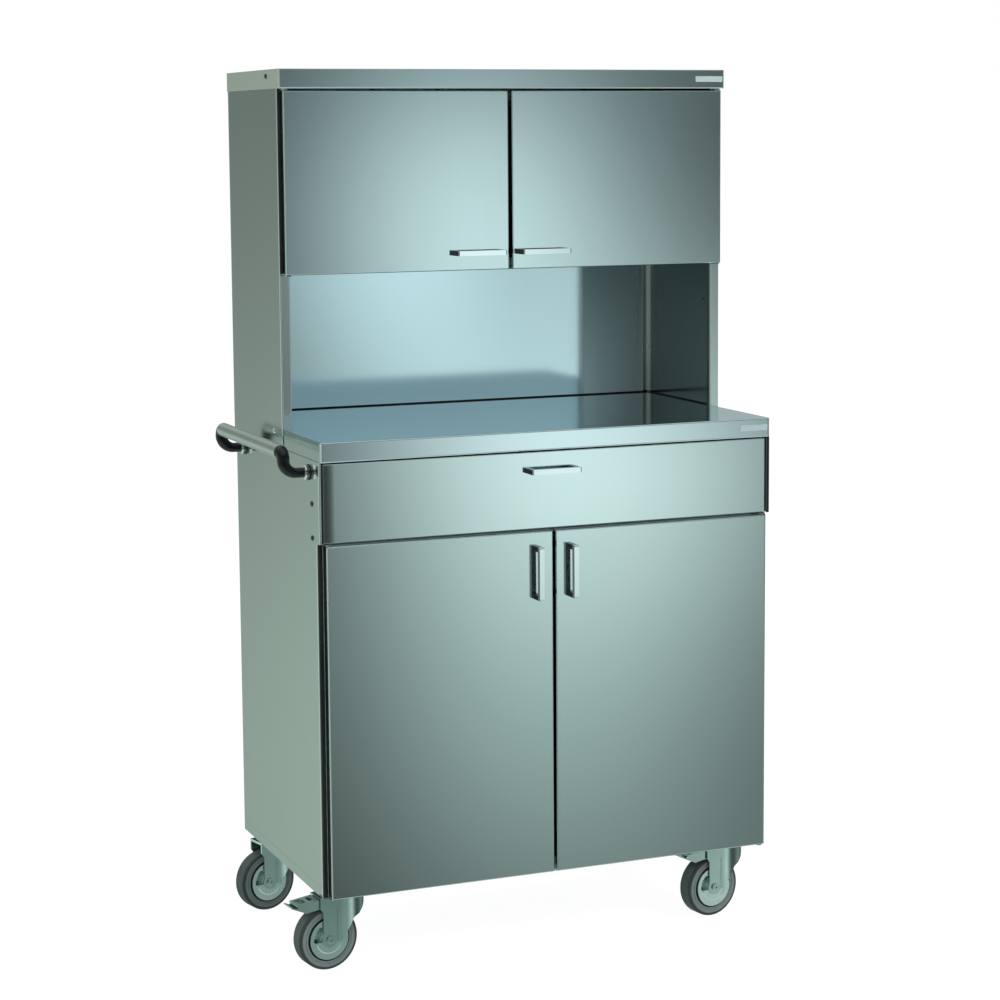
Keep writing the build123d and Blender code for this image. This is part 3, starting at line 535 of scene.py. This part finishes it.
for wheel in WHEELS:
    FINISHES["tyre_" + wheel] = wheel_rubber(wheel)
    FINISHES["rim_" + wheel] = wheel_rim(wheel)
    FINISHES["fork_" + wheel] = pressed_fork(wheel)
for skin in ("base_door_skin_left", "base_door_skin_right", "hutch_door_skin_left",
             "hutch_door_skin_right"):
    FINISHES[skin] = satin_steel("steel_" + skin, STEEL, 0.12, GRAIN_UP, relief=rolled(skin, DOOR_ROLLS))

for handle in ("base_door_handle_left", "base_door_handle_right", "drawer_handle",
               "hutch_door_handle_left", "hutch_door_handle_right"):
    FINISHES[handle] = polished("polished_" + handle, CHROME, 0.07,
                                handle_shade(handle, not handle.startswith("base_door")))

# Other CAD nodes, by how their names start. The first that fits counts
FINISH_OF = (
    ("base_door_liner", "inside"), ("hutch_door_liner", "inside"), ("drawer_front", "drawer"),
    ("drawer_box", "inside"), ("base_side", "side"), ("hutch_side", "hutch_side"),
    ("base_back", "side"), ("hutch_back", "back"), ("hutch_cap", "cap"),
    ("worktop_stiffeners", "inside"), ("worktop", "top"), ("push_bar_tube", "tube"),
    ("push_bar_elbows", "elbow"), ("push_bar_collars", "collar"), ("push_bar_washers", "rubber_and_painted_shade"),
    ("runner", "zinc"), ("caster_plates", "shaded_zinc"), ("brake_pedal", "zinc"),
    ("shelf_pegs", "chrome"), ("base_shelf", "inside"), ("base_floor", "inside"),
    ("drawer_divider", "inside"), ("hutch_floor", "edge"), ("caster_rails", "inside"),
    ("base_hinge_lugs", "inside"), ("hutch_hinge_lugs", "inside"),
)


def dress_nodes():
    """Gives each CAD node its finish."""
    for name, thing in nodes.items():
        key = name
        if name not in FINISHES:
            key = next(key for prefix, key in FINISH_OF if name.startswith(prefix))
        thing.data.materials.clear()
        thing.data.materials.append(FINISHES[key])


# Studio

METAL_TINT = (0.86, 1.0, 0.97)      # cast of everything that the metal sees
ROOM_LIGHT = (0.62, 0.65, 0.645)    # what lights the dull finishes
DARK_ROOM = 0.040
CEILING = (22.0, 60.0, 0.62)        # elevations where it starts and is whole, and its strength
GROUND = (24.0, 40.0, 0.58)         # the same downwards
FLOOR_HALF = 30.0
FLOOR_GREY = (0.13, 0.13, 0.13, 1.0)
FLOOR_WHITE = 0.935

# Area lamps: place, size, power and colour. All aim at the middle of the cabinet
LAMPS = {
    "key_lamp": ((2.6, -3.6, 3.4), 2.2, 120.0, (1.0, 1.0, 0.98)),
    "fill_lamp": ((-3.4, -2.2, 2.4), 2.4, 60.0, (0.95, 1.0, 1.0)),
    "back_lamp": ((0.6, 3.6, 3.6), 2.4, 70.0, (1.0, 1.0, 1.0)),
}
LAMP_AIM = Vector((0.0, 0.0, 0.8))


def panels_and_flags(maker):
    """White backdrop as the metal sees it: soft panels of light between dark flags, over a pale floor."""
    ray = maker.node("ShaderNodeTexCoord", output=0)
    x, y, z = (maker.node("ShaderNodeSeparateXYZ", None, {0: ray}, index) for index in range(3))
    azimuth = x.math("ARCTAN2", -y) * math.degrees(1.0)
    elevation = z.math("ARCSINE") * math.degrees(1.0)
    ceiling = elevation.ramp(CEILING[0], CEILING[1]) * CEILING[2]
    ground = (-elevation).ramp(GROUND[0], GROUND[1]) * GROUND[2]
    total = maker.scaled(METAL_TINT, DARK_ROOM + ceiling + ground)
    for centre, height, half_width, half_height, strength, colour in PANELS:
        turn = (azimuth - centre).math("WRAP", 180.0, -180.0)
        amount = turn.hump(half_width) * (elevation - height).hump(half_height) * strength
        total = maker.vector("ADD", total, maker.scaled(colour, amount))
    return total


def make_world():
    world = bpy.data.worlds.new("studio")
    bpy.context.scene.world = world
    world.use_nodes = True
    maker = Maker(world.node_tree)
    path = maker.tree.nodes.new("ShaderNodeLightPath")
    camera, glossy, transmitted = (Term(maker, path.outputs[f"Is {kind} Ray"])
                                   for kind in ("Camera", "Glossy", "Transmission"))
    backdrop = maker.blend(glossy, WHITE, panels_and_flags(maker))
    shown = camera.math("MAXIMUM", glossy).math("MAXIMUM", transmitted)
    seen = maker.blend(shown, ROOM_LIGHT, backdrop)
    shader = maker.node("ShaderNodeBackground", None, {"Color": seen, "Strength": 1.0})
    maker.node("ShaderNodeOutputWorld", None, {"Surface": shader})


def make_floor():
    """Pale floor, white to the camera but for a soft shadow. The metal sees the world's ground instead."""
    shape = bmesh.new()
    bmesh.ops.create_grid(shape, x_segments=1, y_segments=1, size=FLOOR_HALF)
    floor = new_piece("studio_floor", shape)
    material, maker = start("pale_floor")
    path = maker.tree.nodes.new("ShaderNodeLightPath")
    camera = Term(maker, path.outputs["Is Camera Ray"])
    glossy = Term(maker, path.outputs["Is Glossy Ray"])
    matt = maker.node("ShaderNodeBsdfDiffuse", None, {"Color": FLOOR_GREY})
    glow = {"Color": (*WHITE, 1.0), "Strength": camera * FLOOR_WHITE}
    light = maker.node("ShaderNodeEmission", None, glow)
    both = maker.node("ShaderNodeAddShader", None, {0: matt, 1: light})
    clear = maker.node("ShaderNodeBsdfTransparent")
    mixed = maker.node("ShaderNodeMixShader", None, {0: glossy, 1: both, 2: clear})
    maker.node("ShaderNodeOutputMaterial", None, {"Surface": mixed})
    floor.data.materials.append(material)


def make_lamps():
    """Soft round lamps that light the plastic, rubber and dull metal. The bright metal doesn't see them."""
    for name, (place, size, power, colour) in LAMPS.items():
        lamp = bpy.data.lights.new(name, "AREA")
        lamp.shape = "DISK"
        lamp.size = size
        lamp.energy = power
        lamp.color = colour
        thing = bpy.data.objects.new(name, lamp)
        bpy.context.scene.collection.objects.link(thing)
        thing.location = place
        thing.rotation_euler = (LAMP_AIM - Vector(place)).to_track_quat("-Z", "Y").to_euler()
        thing.visible_glossy = False


def make_camera():
    data = bpy.data.cameras.new("photo_camera")
    data.sensor_width = 36.0
    data.lens = CAMERA_LENS
    data.shift_y = CAMERA_SHIFT
    camera = bpy.data.objects.new("photo_camera", data)
    bpy.context.scene.collection.objects.link(camera)
    yaw, pitch, roll = (math.radians(a) for a in (CAMERA_YAW, CAMERA_PITCH, CAMERA_ROLL))
    ahead = Vector((math.sin(yaw) * math.cos(pitch), math.cos(yaw) * math.cos(pitch),
                    -math.sin(pitch)))
    level = Vector((math.cos(yaw), -math.sin(yaw), 0.0))
    upward = level.cross(ahead)
    right = level * math.cos(roll) + upward * math.sin(roll)
    up = upward * math.cos(roll) - level * math.sin(roll)
    turn = Matrix((right, up, -ahead)).transposed()
    camera.matrix_world = Matrix.Translation(CAMERA_PLACE) @ turn.to_4x4()
    bpy.context.scene.camera = camera


# Pieces. Lengths are in millimetres until a piece is finished

WORKTOP_TOP = 1050.0


def new_piece(name, shape):
    """An object from a bmesh whose vertices are already in place."""
    data = bpy.data.meshes.new(name)
    shape.to_mesh(data)
    shape.free()
    thing = bpy.data.objects.new(name, data)
    bpy.context.scene.collection.objects.link(thing)
    return thing


def finished(name, shape, key, body="cabinet", smooth=True):
    """Turns a millimetre bmesh into a riding piece with its finish."""
    bmesh.ops.recalc_face_normals(shape, faces=shape.faces)
    bmesh.ops.scale(shape, vec=(MM, MM, MM), verts=shape.verts)
    for face in shape.faces:
        face.smooth = smooth
    piece = new_piece(name, shape)
    piece.data.materials.append(FINISHES[key])
    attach(piece, body)
    return piece


def block(low, high):
    """A box-shaped bmesh between two corners."""
    shape = bmesh.new()
    bmesh.ops.create_cube(shape, size=1.0)
    bmesh.ops.scale(shape, vec=[b - a for a, b in zip(low, high)], verts=shape.verts)
    bmesh.ops.translate(shape, vec=[(a + b) / 2.0 for a, b in zip(low, high)], verts=shape.verts)
    return shape


def rounded(shape, edges, radius, segments=3):
    """Rounds edges off."""
    bmesh.ops.bevel(shape, geom=edges, offset=radius, affect="EDGES", segments=segments,
                    profile=0.5, material=-1)


def edges_along(shape, axis):
    """Edges that run along x, y or z."""
    found = []
    for edge in shape.edges:
        run = edge.verts[1].co - edge.verts[0].co
        if abs(run[axis]) > 0.99 * run.length:
            found.append(edge)
    return found


# Blank plates: middle in x and z, width and height, and y of the sheet that each is on
PLATES = (
    ("worktop_plate", (MIDDLE + 442.2, 1031.3), (62.0, 12.0), -272.6),
    ("cap_plate", (MIDDLE + 447.4, 1736.0), (62.0, 11.6), -60.6),
)
PLATE_OUT = 0.9
PLATE_IN = 0.2
PLATE_CORNER = 2.0


def front_plate(name, centre, size, sheet):
    """Thin blank plate with round corners and a raised rim."""
    low = (centre[0] - size[0] / 2.0, sheet - PLATE_OUT, centre[1] - size[1] / 2.0)
    high = (centre[0] + size[0] / 2.0, sheet + PLATE_IN, centre[1] + size[1] / 2.0)
    shape = block(low, high)
    rounded(shape, edges_along(shape, 1), PLATE_CORNER, 5)
    face = min(shape.faces, key=lambda f: f.calc_center_median().y)
    bmesh.ops.inset_region(shape, faces=[face], thickness=0.3, depth=0.3)
    face = min(shape.faces, key=lambda f: f.calc_center_median().y)
    bmesh.ops.inset_region(shape, faces=[face], thickness=0.7, depth=0.0)
    face = min((f for f in shape.faces if len(f.verts) > 8), key=lambda f: f.calc_area())
    bmesh.ops.inset_region(shape, faces=[face], thickness=0.2, depth=-0.25)
    return finished(name, shape, "plate", smooth=False)


def dark_strip(name, low, high, round_axis=2):
    """Dark strip with rounded long edges, used for the niche's sealing beads and for the painted shade in the
    gaps beside the fronts.
    """
    shape = block(low, high)
    smallest = min(b - a for a, b in zip(low, high))
    rounded(shape, edges_along(shape, round_axis), smallest * 0.35)
    return finished(name, shape, "rubber_and_painted_shade")


def turned(profile, out, steps):
    """A closed cap spun round X from radii and heights. out is the way it faces, -1 or 1."""
    shape = bmesh.new()
    points = [shape.verts.new((height * out, 0.0, radius)) for radius, height in profile]
    edges = [shape.edges.new(pair) for pair in zip(points, points[1:])]
    bmesh.ops.spin(shape, geom=points + edges, cent=(0, 0, 0), axis=(1, 0, 0), dvec=(0, 0, 0),
                   angle=math.tau, steps=steps, use_merge=True)
    bmesh.ops.remove_doubles(shape, verts=shape.verts, dist=0.001)
    return shape


# Radii and heights from the middle of the head outwards
SCREW = ((0.0, 1.0), (1.75, 1.0), (1.9, 2.45), (2.6, 2.5), (3.9, 2.1), (4.9, 1.3), (5.4, 0.35), (5.5, -0.4))
SOCKET_RADIUS = 2.0
# The dark disc that stands in for the shade inside a hole
HOLE_SHADE_DISC = ((0.0, 0.12), (1.36, 0.12), (1.7, 0.35), (2.04, 0.3), (2.21, -0.2))


def screw(name, place, out, key):
    """Domed screw with a hexagon socket. out is the way the head faces, -1 or 1 along x."""
    shape = turned(SCREW, out, 24)
    for vert in shape.verts:
        radius = math.hypot(vert.co.y, vert.co.z)
        if 0.1 < radius < SOCKET_RADIUS:
            turn = math.atan2(vert.co.y, vert.co.z) % (math.pi / 3.0) - math.pi / 6.0
            flat = math.cos(math.pi / 6.0) / math.cos(turn)
            vert.co.y, vert.co.z = (part * flat for part in vert.co.yz)
    bmesh.ops.translate(shape, vec=place, verts=shape.verts)
    return finished(name, shape, key)


def hole_shade(name, place, out):
    """Small dark disc in a hole of the niche's wall, painted shade for the hole's dark inside."""
    shape = turned(HOLE_SHADE_DISC, out, 20)
    bmesh.ops.translate(shape, vec=place, verts=shape.verts)
    return finished(name, shape, "rubber_and_painted_shade")


def make_plates():
    for plate in PLATES:
        front_plate(*plate)


# Dark strips of painted shade in the gaps beside the fronts, where the carcass's front flanges lie in shadow:
# distances from the cabinet's middle on the left and on the right, then y and z
GAP_SHADE_STRIPS = (
    ("base_door_gap_shade", {"left": (471.7, 479.9), "right": (471.7, 479.9)}, (-253.4, -249.5), (162.0, 852.0)),
    ("drawer_gap_shade", {"left": (474.6, 477.4), "right": (474.6, 480.8)}, (-268.0, -266.5), (856.0, 1011.0)),
    ("hutch_door_gap_shade", {"left": (476.2, 480.9), "right": (476.2, 480.9)}, (-45.6, -42.0),
     (1358.0, 1716.5)),
)


def make_gap_shade_strips():
    for side, out in SIDES:
        for name, reach, depth, height in GAP_SHADE_STRIPS:
            across = sorted(MIDDLE + out * distance for distance in reach[side])
            low, high = zip(across, depth, height)
            dark_strip(f"{name}_{side}", low, high)


# Screws in both sides: y, z, distance from the cabinet's middle, and finish
SCREWS = (
    ("runner", -220.6, 928.0, 481.2, "screw"),
    ("divider", -220.6, 862.0, 481.2, "screw"),
    ("hutch_foot", 17.4, 1043.0, 481.2, "chrome"),
    ("cap", 23.4, 1742.0, 482.4, "screw"),
)


def make_screws():
    for side, out in SIDES:
        for name, y, z, reach, key in SCREWS:
            screw(f"{name}_screw_{side}", (MIDDLE + out * reach, y, z), out, key)


NICHE_HALF = 480.0
HOLE_HEIGHT = 1275.0
HOLE_DEPTHS = {"front": 26.4, "rear": 275.0}
SIDE_BEAD = (1.6, -28.0, 294.4, 2.4)        # thickness, front and rear end, and height
BACK_BEAD = (478.3, 294.4, 296.1, 2.6)      # half length, front and rear face, and height
CATCH = ((508.0, 292.2, 1148.5), (511.6, 296.3, 1155.5))


def make_niche_details():
    """Dark discs in the walls' holes as painted shade, sealing beads along the foot of the walls and the
    back, and a small catch.
    """
    thick, front, rear, height = SIDE_BEAD
    for side, out in SIDES:
        wall = MIDDLE + out * NICHE_HALF
        for which, depth in HOLE_DEPTHS.items():
            hole_shade(f"niche_{which}_plug_{side}", (wall, depth, HOLE_HEIGHT), -out)
        ends = sorted((wall, wall - out * thick))
        dark_strip(f"niche_side_bead_{side}", (ends[0], front, WORKTOP_TOP),
             (ends[1], rear, WORKTOP_TOP + height), 1)
    catch = block(*CATCH)
    rounded(catch, list(catch.edges), 0.8)
    finished("niche_catch", catch, "plate")
    half, front, rear, height = BACK_BEAD
    dark_strip("niche_back_bead", (MIDDLE - half, front, WORKTOP_TOP),
         (MIDDLE + half, rear, WORKTOP_TOP + height), 0)


def main():
    bpy.context.scene.view_settings.view_transform = "Standard"
    make_camera()
    make_world()
    make_floor()
    make_lamps()
    dress_nodes()
    make_plates()
    make_gap_shade_strips()
    make_screws()
    make_niche_details()


main()
